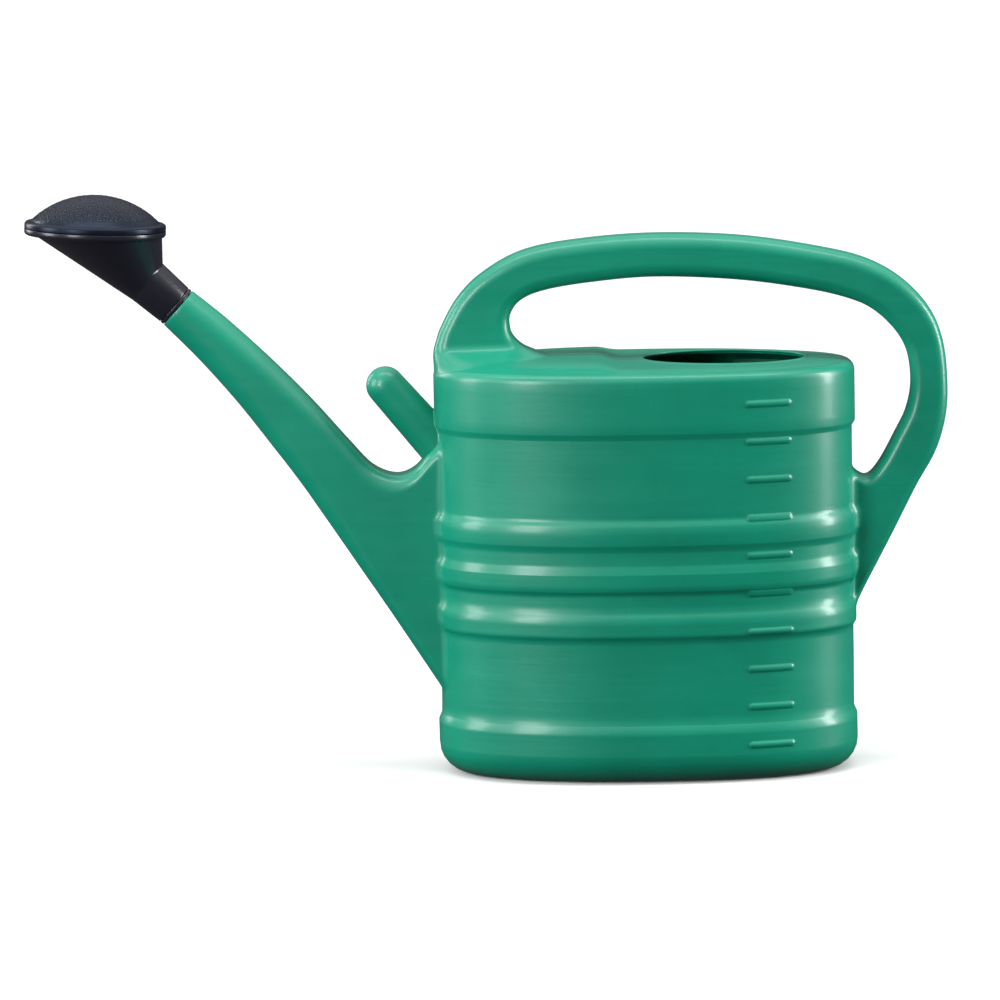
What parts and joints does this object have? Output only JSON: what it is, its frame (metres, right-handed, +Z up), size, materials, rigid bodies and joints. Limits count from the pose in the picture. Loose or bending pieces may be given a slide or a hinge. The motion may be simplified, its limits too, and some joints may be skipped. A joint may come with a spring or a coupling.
{
  "type": "watering can",
  "caption": "Oval plastic watering can with a banded tank, long upswept spout, hollow bow handle, parking peg and a push-on domed rose that turns and pulls off.",
  "frame": {"origin": "centre of the tank's flat base, on the surface it stands on", "axes": "+X towards the rear handle and away from the spout, +Z up; the can is symmetric about the XZ plane"},
  "size_m": [0.6398, 0.166, 0.4095],
  "materials": {
    "green_plastic": "blow-moulded polyethylene, soft satin sheen with a faint orange-peel texture",
    "black_plastic": "injection-moulded black plastic, semi-gloss"
  },
  "bodies": {
    "can": {"tank": "green_plastic", "spout": "green_plastic", "handle": "green_plastic", "rose_holder_peg": "green_plastic"},
    "rose_sleeve": {"rose_sleeve": "black_plastic"},
    "rose_head": {"rose_funnel": "black_plastic", "rose_face": "black_plastic"}
  },
  "joints": [
    {"name": "rose_pull", "type": "slide", "parent": "can", "child": "rose_sleeve", "axis": [-0.7431, 0, 0.6691], "range_m": [0, 0.05]},
    {"name": "rose_turn", "type": "hinge", "parent": "rose_sleeve", "child": "rose_head", "pos_m": [-0.3234, 0, 0.3281], "axis": [-0.7431, 0, 0.6691], "continuous": true}
  ]
}
